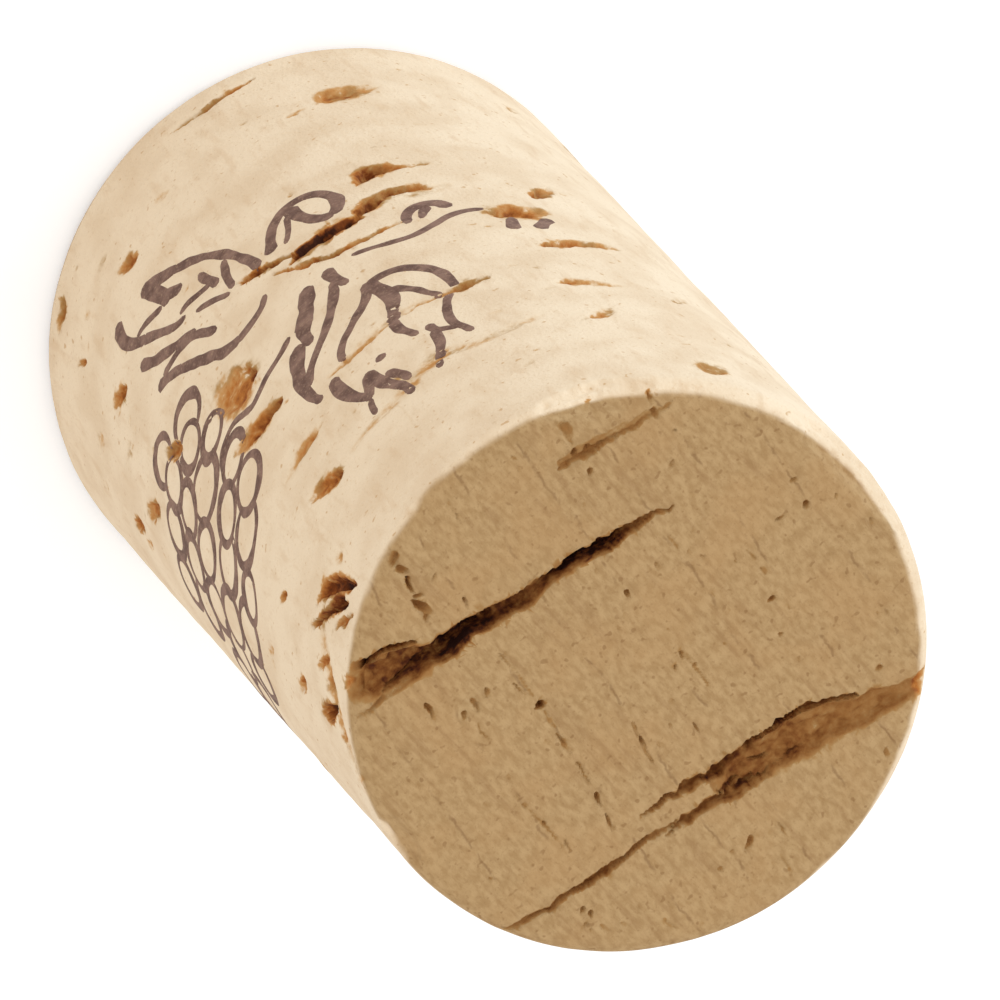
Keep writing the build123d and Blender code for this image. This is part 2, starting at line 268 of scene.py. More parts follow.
THIN_CRACK_LEFT = [
    (-30, 0.667, 0.3, 0.2),
    (-25, 0.673, 0.7, 0.5),
    (-21, 0.673, 0.3, 0.3),
    (-12, 0.667, 0.2, 0.15),
]
THIN_CRACK_RIGHT = [
    (-9, 0.669, 0.2, 0.15),
    (-2, 0.673, 0.4, 0.25),
    (6, 0.673, 0.15, 0.15),
]
FOOT_CRACK = [
    (-22, 0.038, 0.15, 0.2),
    (-16, 0.042, 0.4, 0.4),
    (-9, 0.049, 0.4, 0.3),
    (-3, 0.047, 0.15, 0.15),
]
TORN_HOLLOW = [
    [(31, 0.96, 0.3, 0.2), (33, 0.935, 0.6, 0.8), (34.5, 0.91, 0.7, 0.9),
     (37, 0.89, 0.7, 0.8), (40, 0.88, 0.2, 0.2)],
    [(35, 0.955, 0.3, 0.2), (37, 0.93, 0.7, 1.1), (40, 0.913, 0.5, 1),
     (43, 0.893, 0.4, 0.8), (45, 0.87, 0.2, 0.2)],
    [(36, 0.976, 0.2, 0.2), (38.5, 0.956, 0.5, 0.4), (41, 0.94, 0.2, 0.2)],
    [(56, 0.95, 0.2, 0.2), (58, 0.93, 0.7, 1.1), (60, 0.91, 0.6, 0.8), (62, 0.89, 0.2, 0.2)],
]
# Shallow fibrous bands, too faint for the frame
FIBRE_BANDS = [
    [(-33, 0.79, 0.5, 0.05), (-27, 0.8, 0.8, 0.1), (-19, 0.805, 0.5, 0.08), (-12, 0.79, 0.9, 0.14)],
    [(-12, 0.79, 0.9, 0.14), (-5, 0.795, 0.9, 0.08), (3, 0.812, 0.6, 0.1), (13, 0.81, 0.6, 0.05)],
    [(-21, 0.669, 0.6, 0.07), (-8, 0.665, 0.8, 0.09), (2, 0.675, 0.8, 0.1), (6, 0.67, 0.4, 0.05)],
    [(-5, 0.81, 0.6, 0.1), (-3, 0.78, 0.6, 0.11), (-1, 0.75, 0.3, 0.03)],
    [(39, 0.9, 0.5, 0.05), (46, 0.91, 0.9, 0.1), (51, 0.935, 0.8, 0.12), (57, 0.955, 0.9, 0.12)],
    [(57, 0.955, 0.9, 0.12), (63, 0.975, 0.8, 0.12), (68, 0.985, 0.5, 0.05)],
]
SIDE_CHANNELS = TORN_HOLLOW + FIBRE_BANDS + [
    LONG_CRACK, UPPER_CRACK, LOWER_CRACK, THIN_CRACK_LEFT, THIN_CRACK_RIGHT, FOOT_CRACK,
]

# Pores of the side: (angle, height, length, width, depth, slant), with the slant in degrees from level.
# They are as in the frame, but for the third, which is shallower here.
FRONT_PORES = [
    (-58, 0.938, 2, 1.3, 0.25, 60),
    (-45, 0.800, 1.8, 0.6, 0.25, 45),
    (-48, 0.711, 2.8, 0.8, 0.22, 0),
    (-67, 0.704, 1.9, 0.5, 0.2, 50),
    (-54, 0.589, 4, 0.8, 0.5, 20),
    (-47, 0.502, 2.6, 1.5, 0.5, 15),
    (-56, 0.431, 2.3, 0.7, 0.5, 55),
    (-35, 0.133, 2.5, 1.4, 0.35, 5),
    (22, 0.802, 2.4, 0.9, 0.6, -40),
    (21, 0.718, 2.6, 0.9, 0.2, -5),
    (25, 0.598, 3.6, 1, 0.6, -35),
    (23, 0.509, 3.6, 2.2, 0.35, -70),
    (21, 0.156, 1.5, 0.8, 0.5, -60),
    (48, 0.992, 1.7, 0.6, 0.6, -50),
    (50, 0.909, 1.7, 0.5, 0.6, -60),
    (53, 0.931, 1.3, 0.6, 0.3, -60),
    (61, 0.962, 1.2, 0.4, 0.4, -60),
    (60, 0.831, 1.4, 0.6, 0.6, -60),
    (46, 0.778, 1.2, 0.4, 0.4, -55),
    (42, 0.416, 2.4, 0.7, 0.5, -65),
    (59, 0.347, 2.4, 0.8, 0.5, -65),
    (68, 0.267, 2.4, 0.7, 0.7, -65),
    (43, 0.238, 1.8, 0.8, 0.6, -50),
    (45, 0.116, 1.4, 0.35, 0.5, -65),
    (41, 0.040, 1.4, 0.8, 0.4, -10),
]
BACK_PORES = [
    (88, 0.74, 1.2, 0.7, 0.5, -30),
    (98, 0.55, 1.3, 0.8, 0.6, -20),
    (104, 0.86, 1.6, 0.7, 0.5, 10),
    (112, 0.3, 1.5, 0.9, 0.5, 15),
    (120, 0.66, 2.6, 0.6, 0.5, 5),
    (133, 0.12, 3, 0.6, 0.4, -4),
    (140, 0.47, 4.2, 0.7, 0.7, 6),
    (152, 0.88, 2.2, 0.5, 0.4, -6),
    (160, 0.27, 3.4, 0.6, 0.5, 4),
    (172, 0.6, 5, 0.6, 0.8, -5),
    (184, 0.15, 2.4, 0.5, 0.4, 3),
    (190, 0.8, 3.6, 0.7, 0.6, 5),
    (203, 0.4, 4.4, 0.8, 0.7, -4),
    (215, 0.7, 2, 0.5, 0.4, 8),
    (228, 0.22, 2.8, 0.7, 0.5, -8),
    (236, 0.54, 1.8, 0.7, 0.5, 12),
    (246, 0.86, 1.5, 0.8, 0.5, -15),
    (255, 0.35, 1.4, 0.8, 0.6, 20),
    (264, 0.64, 1.2, 0.7, 0.5, -25),
    (272, 0.1, 1.3, 0.8, 0.5, 10),
]
# Stains hardly deeper than the skin, too faint for the frame
FAINT_PORES = [
    (-72, 0.105, 1.6, 0.7, 0.12, 60),
    (-24, 0.150, 1.3, 0.4, 0.12, 10),
    (7.6, 0.131, 0.9, 0.7, 0.12, 0),
    (-12, 0.313, 0.5, 0.25, 0.15, 80),
    (60, 0.729, 1.2, 0.4, 0.15, -65),
    (50, 0.282, 1.3, 0.4, 0.12, -65),
    (52.5, 0.278, 1.4, 0.4, 0.1, -65),
    (57, 0.178, 1.3, 0.7, 0.12, -50),
    (36, 0.107, 1, 0.5, 0.1, -60),
    (26, 0.100, 1, 0.7, 0.08, 0),
    (69, 0.980, 1.3, 0.6, 0.12, -60),
    (71, 0.289, 1.6, 0.4, 0.2, -60),
    (-34, 0.420, 2.4, 1.1, 0.09, 10),
    (-38, 0.352, 2, 0.7, 0.07, -10),
    (-24.5, 0.889, 0.7, 0.4, 0.1, 60),
    (-27, 0.752, 0.8, 0.5, 0.08, 60),
    (29.5, 0.904, 0.8, 0.6, 0.15, 60),
    (43, 0.905, 1.8, 0.6, 0.1, -10),
    (-41.5, 0.810, 1, 0.4, 0.1, 25),
    (-39.5, 0.722, 0.8, 0.4, 0.1, 30),
]
# Deeper spots within the larger pores and cracks, which the depth scale paints darker as shade
PORE_HEARTS = [
    (19.5, 0.612, 1.5, 0.6, 0.9, -35),
    (26, 0.597, 1.6, 0.4, 0.7, -40),
    (19, 0.813, 0.9, 0.5, 0.8, -60),
    (17, 0.719, 0.9, 0.35, 0.5, -60),
    (17.8, 0.518, 2.2, 0.45, 0.6, -85),
    (-11.5, 0.4335, 3.4, 0.85, 2.3, -2),
    (3.5, 0.400, 1.5, 0.4, 1.3, -40),
    (-43, 0.513, 1, 0.5, 0.75, 45),
    (-45.5, 0.507, 0.9, 0.4, 0.6, 60),
    (-49, 0.597, 1.8, 0.55, 0.55, 15),
    (-44, 0.703, 0.9, 0.5, 0.4, 30),
    (-26.3, 0.342, 0.8, 0.6, 1.1, 60),
    (-22.5, 0.414, 1, 0.5, 1.3, 80),
]

# How a pore's slices lie along its length, and how wide and deep they are, as shares.
# A pore is deepest near the end that it starts from, and shallow in its tail.
PORE_FORM = [(-1, 0.3, 0.5), (-0.6, 0.9, 1), (-0.1, 1, 0.85), (0.5, 0.8, 0.45), (1, 0.2, 0.2)]

# Growth rings of the tree cross X. They lean by this share of Y, lie this far apart, and one has this X.
RING_LEAN = 0.11
RING_SPACING = 2.7
RING_PLACE = 4.2

# Warps that make the edges of marks uneven, from broad to ragged:
# (cell of the noise, furthest shift, shift as a share of a narrow mark's width, seed of each axis)
WARPS = [(1.3, 0.16, 0.2, (13, 14)), (0.45, 0.11, 0.3, (11, 12)), (0.24, 0.07, 0.2, (16, 17))]
# Shares of a mark's half width at which its wall starts and is at its deepest, and those at which its
# stain and painted shade start and are full, on the side and on an end
WALL = (1.1, 0.5)
SIDE_FADE = (1.65, 0.2)
END_FADE = (1.25, 0.75)
# A pore of an end has this share of the stain and painted shade of a fissure as deep.
END_PORE_STAIN_AND_SHADE = 0.7
# Fine seeded pores of each end and of the side
END_SPECKS = 75
SIDE_SPECKS = 170
# Waves: their middle value, then (height, cell of the noise, seed) of each.
# A mark's lumpy floor, as a share of its depth, and how deep the unevenness of plain cut cork is
FLOOR_WAVES = (0.76, [(0.2, 0.7, 15), (0.16, 0.3, 18)])
SKIN_WAVES = (0.03, [(0.022, 3.0, 31), (0.012, 0.7, 32)])
# The foot is flatter by this share, because the stopper stands on it.
FOOT_FLATNESS = 0.7
# The browner, darker colour of the ends, partly end grain and partly painted shade, stops at an uneven
# line near the rim: its broad and fine waves, its lean along X
BROWN_BROAD = 0.14
BROWN_FINE = 0.06
BROWN_LEAN = 0.035
# Share of the grid's triangles that is kept. The flat places lose most.
KEPT_SHARE = 0.22

# Values and factors of the hash that picks a random value for each cell
NOISE_VALUES = 4096
NOISE_FACTORS = (73856093, 19349663, 83492791)


def placed(name, data):
    """New object in the scene."""
    thing = bpy.data.objects.new(name, data)
    bpy.context.collection.objects.link(thing)
    return thing


def smooth(low, high, values):
    """Smooth step from 0 at low to 1 at high. High may be below low."""
    share = np.clip((values - low) / (high - low), 0, 1)
    return share * share * (3 - 2 * share)


def lattice_noise(points, cell, seed):
    """Smooth noise from -1 to 1, between seeded values at the corners of cubic cells."""
    table = np.random.default_rng(seed).uniform(-1, 1, NOISE_VALUES)
    scaled = points / cell
    base = np.floor(scaled).astype(np.int64)
    share = smooth(0, 1, scaled - base)
    total = np.zeros(len(points))
    for corner in itertools.product((0, 1), repeat=3):
        cells = (base + corner) * NOISE_FACTORS
        key = (cells[:, 0] ^ cells[:, 1] ^ cells[:, 2]) % NOISE_VALUES
        weight = np.prod(np.where(corner, share, 1 - share), axis=1)
        total += weight * table[key]
    return total


def waves(points, middle, rows):
    """Sum of a middle value and of rows of noise."""
    total = middle
    for height, cell, seed in rows:
        total = total + height * lattice_noise(points, cell, seed)
    return total


def pore_slices(pore, reach):
    """Slices along a pore, from its row in a table and its half length along both axes there."""
    first, second, _, width, depth, _ = pore
    slices = []
    for way, broad, deep in PORE_FORM:
        slices.append((first + reach[0] * way, second + reach[1] * way, width * broad, depth * deep))
    return slices


class Skin:
    """Grid of points all over the plain body, with the depth that marks cut into it."""

    # Way between two points: in general, on the foot, and from an end's centre to the first row
    SPACING = 0.105
    FOOT_SPACING = 0.25
    CENTRE_SPACING = 0.25

    def __init__(self):
        self.columns = int(2 * math.pi * RADIUS / self.SPACING)
        rows = self.profile()
        self.rows = len(rows)
        angles = np.arange(self.columns) / self.columns * 2 * math.pi - math.pi
        radius, height, out, up, way = (np.repeat(column, self.columns) for column in rows.T)
        self.angle = np.tile(angles, self.rows)
        self.points = np.stack([radius * np.sin(self.angle), -radius * np.cos(self.angle), height], 1)
        self.normals = np.stack([out * np.sin(self.angle), -out * np.cos(self.angle), up], 1)
        self.rim_way = way
        self.depth = np.zeros(len(self.points))
        self.stain_and_shade = np.zeros(len(self.points))
        self.side_weight = smooth(0.2, 0.8, out)
        self.top_weight = smooth(0.2, 0.8, up)
        self.foot_weight = smooth(0.2, 0.8, -up)
        self.warps = []
        for cell, furthest, share, seeds in WARPS:
            self.warps.append([lattice_noise(self.points, cell, seed) for seed in seeds])
        broad, fine, ragged = self.warps
        self.floor = waves(self.points, *FLOOR_WAVES)
        # Share of a fine row of pores that is open at each place
        self.broken = smooth(-0.4, 0.5, fine[1] + ragged[0])
        # Share of the ends' colour, which is partly end grain and partly painted shade
        from_rim = RADIUS - radius + BROWN_BROAD * broad[0] + BROWN_FINE * fine[0]
        from_rim += BROWN_LEAN * self.points[:, 0]
        self.end_tone = smooth(0.02, 0.3, from_rim) * smooth(0, 0.45, np.abs(up))

    def profile(self):
        """Rows from the top's centre on: radius, height, outward, upward, way in from the rim."""
        rows = []
        flat = RADIUS - TOP_ROUND
        half_bend = TOP_ROUND * math.pi / 4
        for radius in np.linspace(self.CENTRE_SPACING, flat, int(flat / self.SPACING)):
            rows.append((radius, LENGTH, 0, 1, flat - radius + half_bend))
        bends = int(TOP_ROUND * math.pi / 2 / self.SPACING)
        for turn in np.linspace(0, math.pi / 2, bends + 1)[1:]:
            radius = RADIUS - TOP_ROUND * (1 - math.sin(turn))
            height = LENGTH - TOP_ROUND * (1 - math.cos(turn))
            way = TOP_ROUND * (math.pi / 4 - turn)
            rows.append((radius, height, math.sin(turn), math.cos(turn), way))
        side = LENGTH - TOP_ROUND - FOOT_ROUND
        for drop in np.linspace(0, side, int(side / self.SPACING))[1:]:
            rows.append((RADIUS, LENGTH - TOP_ROUND - drop, 1, 0, -half_bend - drop))
        bends = int(FOOT_ROUND * math.pi / 2 / self.SPACING)
        for turn in np.linspace(math.pi / 2, 0, bends + 1)[1:]:
            radius = RADIUS - FOOT_ROUND * (1 - math.sin(turn))
            height = FOOT_ROUND * (1 - math.cos(turn))
            rows.append((radius, height, math.sin(turn), -math.cos(turn), -LENGTH))
        flat = RADIUS - FOOT_ROUND
        for radius in np.linspace(flat, self.CENTRE_SPACING, int(flat / self.FOOT_SPACING))[1:]:
            rows.append((radius, 0, 0, -1, -LENGTH))
        return np.array(rows)

    def cut(self, chart, weight, slices, fade=SIDE_FADE, stain_and_shade_share=1):
        """Deepen the skin along slices of (place, place, width, depth) on a flat chart of it."""
        widest = max(width for first, second, width, depth in slices)
        near = weight > 0
        for axis in (0, 1):
            along = [entry[axis] for entry in slices]
            near = near & (chart[axis] > min(along) - widest) & (chart[axis] < max(along) + widest)
        near = np.flatnonzero(near)
        places = []
        for axis in (0, 1):
            shift = 0
            for (cell, furthest, share, seeds), warp in zip(WARPS, self.warps):
                shift = shift + min(furthest, share * widest) * warp[axis][near]
            places.append(chart[axis][near] + shift)
        deepest = np.zeros(len(near))
        darkest = np.zeros(len(near))
        for start, end in zip(slices, slices[1:]):
            run = (end[0] - start[0], end[1] - start[1])
            along = (places[0] - start[0]) * run[0] + (places[1] - start[1]) * run[1]
            along = np.clip(along / (run[0] ** 2 + run[1] ** 2), 0, 1)
            gap = np.hypot(places[0] - start[0] - along * run[0], places[1] - start[1] - along * run[1])
            half = (start[2] + along * (end[2] - start[2])) / 2
            depth = start[3] + along * (end[3] - start[3])
            deepest = np.maximum(deepest, depth * smooth(*WALL, gap / half))
            darkest = np.maximum(darkest, depth * smooth(*fade, gap / half))
        floor = self.floor[near] * weight[near]
        self.depth[near] = np.maximum(self.depth[near], deepest * floor)
        # This depth sets the mark's colour: real brown stain where shallow, painted shade where deep.
        self.stain_and_shade[near] = np.maximum(self.stain_and_shade[near], darkest * floor * stain_and_shade_share)

    def cut_end(self, slices, weight, stain_and_shade_share=1):
        """Channel on an end, from (x, y, width, depth)."""
        chart = (self.points[:, 0], self.points[:, 1])
        places = [(x * RADIUS, y * RADIUS, width, depth) for x, y, width, depth in slices]
        self.cut(chart, weight, places, END_FADE, stain_and_shade_share)

    def cut_end_pore(self, pore, weight):
        """Pore on an end, from (x, y, length, width, depth, heading)."""
        half, turn = pore[2] / 2, math.radians(pore[5])
        reach = (half * math.cos(turn) / RADIUS, half * math.sin(turn) / RADIUS)
        self.cut_end(pore_slices(pore, reach), weight, END_PORE_STAIN_AND_SHADE)

    def around(self, angle):
        """Distance round the side from the front, on the turn nearest to an angle in degrees."""
        turn = math.radians(angle)
        return RADIUS * (turn + (self.angle - turn + math.pi) % (2 * math.pi) - math.pi)

    def cut_side(self, slices):
        """Channel on the side, from (angle, height, width, depth)."""
        chart = (self.around(slices[0][0]), self.points[:, 2])
        places = []
        for angle, height, width, depth in slices:
            places.append((RADIUS * math.radians(angle), height * LENGTH, width, depth))
        self.cut(chart, self.side_weight, places)

    def cut_side_pore(self, pore):
        """Pore on the side, from (angle, height, length, width, depth, slant), deeper on its front."""
        half, turn = math.copysign(pore[2] / 2, pore[0]), math.radians(pore[5])
        reach = (math.degrees(half * math.cos(turn) / RADIUS), half * math.sin(turn) / LENGTH)
        self.cut_side(pore_slices(pore, reach))

    def cut_rim(self, slices):
        """Worn place on the top rim, from (angle, width, depth)."""
        chart = (self.around(slices[0][0]), self.rim_way)
        places = [(RADIUS * math.radians(angle), 0, width, depth) for angle, width, depth in slices]
        self.cut(chart, np.ones(len(self.points)), places, stain_and_shade_share=0)

    def cut_specks(self):
        """Fine seeded pores, all over the ends and more thinly over the side."""
        draw = np.random.default_rng(41)
        for weight in (self.top_weight, self.foot_weight):
            for _ in range(END_SPECKS):
                radius = math.sqrt(draw.uniform()) * 0.94
                turn = draw.uniform(0, 2 * math.pi)
                width = draw.uniform(0.14, 0.26)
                length = width * draw.uniform(1, 2.2)
                heading = draw.choice([0, 80, 90, 100]) + draw.uniform(-25, 25)
                place = (radius * math.cos(turn), radius * math.sin(turn))
                self.cut_end_pore((*place, length, width, draw.uniform(0.05, 0.16), heading), weight)
        for _ in range(SIDE_SPECKS):
            angle = draw.uniform(-180, 180)
            width = draw.uniform(0.14, 0.3)
            length = width * draw.uniform(1, 3)
            slant = draw.uniform(-35, 35)
            height = draw.uniform(0.02, 0.98)
            self.cut_side_pore((angle, height, length, width, draw.uniform(0.04, 0.16), slant))

    def surface(self):
        """Final points: the plain body, less its marks and the slight unevenness of cut cork."""
        uneven = waves(self.points, *SKIN_WAVES)
        pressed = np.maximum(self.depth, uneven * (1 - FOOT_FLATNESS * self.foot_weight))
        return self.points - self.normals * pressed[:, None]


def carved_skin():
    """The skin with every mark cut in."""
    skin = Skin()
    for slices in TOP_CHANNELS:
        skin.cut_end(slices, skin.top_weight)
    for slices in FOOT_CHANNELS:
        skin.cut_end(slices, skin.foot_weight)
    for pore in TOP_PORES:
        skin.cut_end_pore(pore, skin.top_weight)
    for row in RING_PORES:
        skin.cut_end([(*place, *RING_PORE_SIZE) for place in row], skin.top_weight * skin.broken)
    for slices in SIDE_CHANNELS:
        skin.cut_side(slices)
    for pore in FRONT_PORES + BACK_PORES + FAINT_PORES + PORE_HEARTS:
        skin.cut_side_pore(pore)
    for slices in RIM_CHIPS:
        skin.cut_rim(slices)
    skin.cut_specks()
    return skin


def skin_faces(skin):
    """Quads between the rows, and a fan of triangles at each end's centre."""
    columns = skin.columns
    here = np.arange(columns)
    ahead = (here + 1) % columns
    quads = []
    for row in range(skin.rows - 1):
        above = row * columns
        below = above + columns
        quads.append(np.stack([above + here, below + here, below + ahead, above + ahead], 1))
    last = (skin.rows - 1) * columns
    top_centre = skin.rows * columns
    foot_centre = top_centre + 1
    top_fan = [(top_centre, at, ahead[at]) for at in range(columns)]
    foot_fan = [(foot_centre, last + ahead[at], last + at) for at in range(columns)]
    return np.concatenate(quads).tolist() + top_fan + foot_fan


def cork_body():
    """Mesh of the whole stopper, with its marks as real relief."""
    skin = carved_skin()
    surface = skin.surface()
    centres = np.array([(0, 0, LENGTH), (0, 0, 0)])
    mesh = bpy.data.meshes.new("cork_body_grid")
    mesh.from_pydata((np.concatenate([surface, centres]) * MM).tolist(), [], skin_faces(skin))
    # pit_mm carries the marks' stain and painted shade; the other carries the browner ends, partly
    # painted shade.
    for name, values, at_centres in (("pit_mm", skin.stain_and_shade, 0), ("end_grain_and_shade", skin.end_tone, 1)):
        layer = mesh.attributes.new(name, "FLOAT", "POINT")
        values = np.append(values, [at_centres] * len(centres))
        layer.data.foreach_set("value", values.astype(np.float32))
    grid = placed("cork_body_grid", mesh)
    thin = grid.modifiers.new("thin out", "DECIMATE")
    thin.ratio = KEPT_SHARE
    thin.use_collapse_triangulate = True
    graph = bpy.context.evaluated_depsgraph_get()
    final = bpy.data.meshes.new_from_object(grid.evaluated_get(graph))
    final.name = "cork_body"
    final.shade_smooth()
    bpy.data.objects.remove(grid)
    bpy.data.meshes.remove(mesh)
    body = placed("cork_body", final)
    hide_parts("cork_stopper")
    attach(body, "root")
    return body


# Strokes of the print, on the side unrolled flat: (width at the start, width at the end, corners).
# Corners are (way round from the front, height) in millimetres, and each stroke is a smooth curve.
UPPER_LEAF = [
    (0.4, 0.55, [(-4.2, 34.8), (-4.05, 34.1), (-3.85, 33.4), (-3.85, 32.6), (-4, 31.8), (-4.25, 31),
        (-4.55, 30.4)]),
    (0.55, 0.65, [(-4.95, 30.2), (-4.95, 28.9), (-4.85, 27.9), (-4.5, 27), (-3.9, 26.2), (-3.4, 25.85),
        (-2.8, 25.75), (-2.2, 25.8)]),
    (0.45, 0.55, [(-3.95, 33.9), (-3.5, 33.5), (-3.1, 33.1), (-2.95, 32.3)]),
    (0.6, 0.45, [(-3, 33), (-2.95, 33.7), (-2.85, 34.5), (-2.6, 35.2), (-2.35, 35.8), (-2.2, 36.5)]),
    (0.5, 0.6, [(-0.7, 36.9), (-0.65, 36), (-0.4, 35.2), (-0.1, 34.4), (0.05, 33.5), (0.15, 32.6)]),
    (0.5, 0.45, [(-1, 35.6), (-0.9, 34.9), (-0.65, 34.3), (-0.45, 33.8)]),
    (0.55, 0.6, [(0.15, 32.6), (0.35, 33.3), (0.55, 34), (0.8, 34.6)]),
    (0.6, 0.7, [(0.6, 34.5), (1, 33.8), (1.25, 33), (1.4, 32), (1.4, 31.2), (1.3, 30.7)]),
    (0.35, 0.3, [(0.75, 34.6), (0.9, 35.3), (0.95, 36)]),
    (0.5, 0.6, [(0.5, 30.2), (0.4, 29.5), (0, 28.8), (-0.6, 28.2), (-1.3, 27.5), (-1.8, 26.9),
        (-2.1, 26.2), (-2.2, 25.6)]),
    (0.4, 0.55, [(-2.4, 32.6), (-2.2, 31.9), (-2, 31.2), (-2, 30.2)]),
    (0.55, 0.85, [(-2, 30.4), (-2.3, 29.4), (-2.6, 28.4), (-2.6, 27.4), (-2.4, 26.4), (-2.3, 25.8)]),
    (0.4, 0.5, [(-4.3, 30.2), (-3.9, 29.5), (-3.6, 28.6), (-3.2, 27.9), (-2.8, 27.3)]),
    (0.6, 0.6, [(-0.75, 32.6), (-0.6, 32.1)]),
]
BRACT = [
    (0.45, 0.95, [(2.2, 31.2), (2.4, 30.4), (2.45, 29.4), (2.4, 28.4), (2.1, 27.4), (1.8, 26.6),
        (1.5, 25.9)]),
    (0.5, 1.1, [(1, 26.7), (1, 26), (0.9, 25.4), (0.65, 24.8)]),
    (1.15, 0.8, [(0.85, 25.2), (0.5, 24.5), (0.1, 23.7), (-0.35, 22.4)]),
    (0.55, 0.55, [(2.2, 29.4), (1.9, 28.6), (1.2, 27.8), (0.5, 27.1), (-0.1, 26.3), (-0.6, 25.5),
        (-1, 24.6), (-1.3, 23.6)]),
    (0.5, 0.65, [(-1.7, 24.6), (-1.5, 23.8), (-1.4, 23), (-1.4, 22.3)]),
    (0.5, 0.45, [(1.5, 24.7), (2, 25), (2.6, 25.2), (3.3, 25.3), (3.9, 25.5), (4.5, 25.6),
        (5, 25.2), (5.6, 24.6), (6.3, 24.4), (7.2, 24.5), (7.6, 25.4)]),
]
LOWER_LEAF = [
    (0.45, 0.65, [(1.1, 20.1), (1.5, 20.7), (2.3, 20.95), (3.2, 20.9)]),
    (0.7, 0.6, [(3, 20.95), (3.8, 20.4), (4.3, 19.6), (5, 18.4), (5.7, 17.2), (6.3, 16.3),
        (7.2, 15.3)]),
    (0.5, 0.55, [(3.5, 18.5), (3.9, 17.7), (4.3, 16.9), (4.9, 16.3), (5.6, 15.9), (6.6, 15.5)]),
    (0.5, 0.65, [(4.2, 16.7), (4.8, 16), (5.4, 15.4), (6, 14.6), (6.5, 13.9), (6.9, 13.1),
        (7.1, 12.6)]),
    (0.5, 0.65, [(0.5, 17.8), (0.55, 17), (0.75, 16), (1, 15), (1.3, 14.2), (1.8, 13.2),
        (2.5, 12.2), (3.2, 11.4)]),
    (0.65, 0.95, [(3, 11.6), (3.8, 10.8), (4.4, 10.2), (4.8, 9.7)]),
    (0.5, 0.5, [(1.8, 17.3), (1.75, 16.4), (1.6, 15.6), (1.4, 14.8)]),
    (0.45, 0.45, [(2.1, 17.5), (2.6, 16.8), (3.1, 16.2), (3.6, 15.7)]),
    (0.5, 0.45, [(2.2, 15.9), (2.3, 15.2), (2.45, 14.5), (2.5, 13.8)]),
    (0.45, 0.5, [(2.4, 15.3), (3.1, 14.9), (3.7, 14.5), (4.2, 14.4)]),
    (0.5, 0.65, [(4.1, 15), (4.7, 14.6), (5.2, 13.8), (5.7, 12.9), (6.2, 12)]),
    (0.6, 0.8, [(6.1, 12.2), (6.7, 11), (6.95, 10), (6.85, 9.2), (6.7, 8.6)]),
    (0.4, 0.45, [(4.6, 12.4), (5.2, 11.9), (5.7, 11.5), (6.3, 11.2)]),
    (0.55, 0.75, [(3.4, 13.1), (3.8, 12.6), (4.2, 12)]),
    (0.8, 0.75, [(4.1, 12.7), (4.3, 11.6), (4.5, 10.6), (4.8, 9.7)]),
]
BUD = [
    (0.6, 0.65, [(-3.2, 18), (-3.6, 17.3), (-3.7, 16.5), (-3.4, 15.6), (-2.9, 15.05), (-2.2, 14.9),
        (-1.5, 15.2), (-0.9, 15.9), (-0.5, 16.8), (-0.25, 17.6)]),
    (0.6, 0.75, [(-3.2, 18), (-2.6, 17.6), (-2.2, 16.8), (-2, 15.9), (-2, 15.2)]),
    (0.35, 0.35, [(-0.95, 17.8), (-1.3, 17.1), (-1.5, 16.5), (-1.7, 15.7)]),
]
TENDRIL = [
    (0.4, 0.6, [(-2.6, 22.5), (-3.5, 22.9), (-4.4, 23.3), (-5.2, 23.35), (-6, 23), (-6.8, 22.45),
        (-7.6, 22.15), (-8.4, 22.15)]),
    (0.5, 0.85, [(-5.3, 22), (-5.4, 21.3), (-5.75, 20.7), (-6.3, 20.45), (-6.9, 20.7), (-7.2, 21.4)]),
    (0.35, 0.7, [(-5.9, 21.9), (-6.1, 21.4), (-6.4, 20.8)]),
    (0.7, 0.5, [(-8.9, 24.9), (-9.05, 24.1), (-9.2, 23.4)]),
    (0.6, 0.7, [(-10, 24.8), (-10.3, 24.2), (-10.8, 23.4)]),
]
# Grapes, back ones first: (way round, height, radius)
GRAPES = [
    (18.5, 25.8, 1.1), (17, 24.4, 1.2), (17, 27.2, 1.2), (15, 29.5, 1.1),
    (14.2, 19.5, 1.1), (15.2, 26, 1.2), (14.5, 22, 1.2), (13, 29.5, 1.3),
    (13.3, 26.8, 1.3), (13.7, 24.2, 1.2), (12, 19.2, 1.1), (12.5, 21.8, 1.1),
    (11.2, 30.3, 1), (10.8, 27.2, 1.25), (11.3, 24, 1.2), (9.6, 17.5, 1.1),
    (10, 19.2, 1.1), (10.4, 21.4, 1.1), (8.9, 26.6, 1.15), (8.8, 29.4, 1.3),
    (8.85, 23.35, 1.4), (7.2, 19.5, 1.2), (7.95, 20.6, 1.05), (7, 28.3, 1.2),
    (6.8, 25.8, 1.05), (6.8, 22.7, 0.95),
]
# Width of a grape's outline, the share by which it is wider on one side than on average, and the
# share of the radius by which the grape bulges
GRAPE_LINE = 0.48
GRAPE_SHADE = 0.32
GRAPE_BULGE = 0.06
# Way between two points of a stroke
INK_STEP = 0.14
# Section across a line of ink: (share of its half width, height over the cork)
INK_SECTION = [(-1, -0.012), (-0.6, 0.018), (0.6, 0.018), (1, -0.012), (0, -0.05)]
# Ink misses a pore that is deeper than this, and a line of fewer points than this isn't made
INK_REACH = 0.13
INK_SHORTEST = 3
# A stroke narrows to this share of its width over this way from each tip.
INK_TIP = 0.45
INK_TAPER = 0.3
# Waves in the width of worn lines, as shares of it
INK_WAVES = (1.06, [(0.2, 0.6, 51), (0.14, 1.7, 52)])
# The skin is looked for from this far outside.
RAY_START = 1


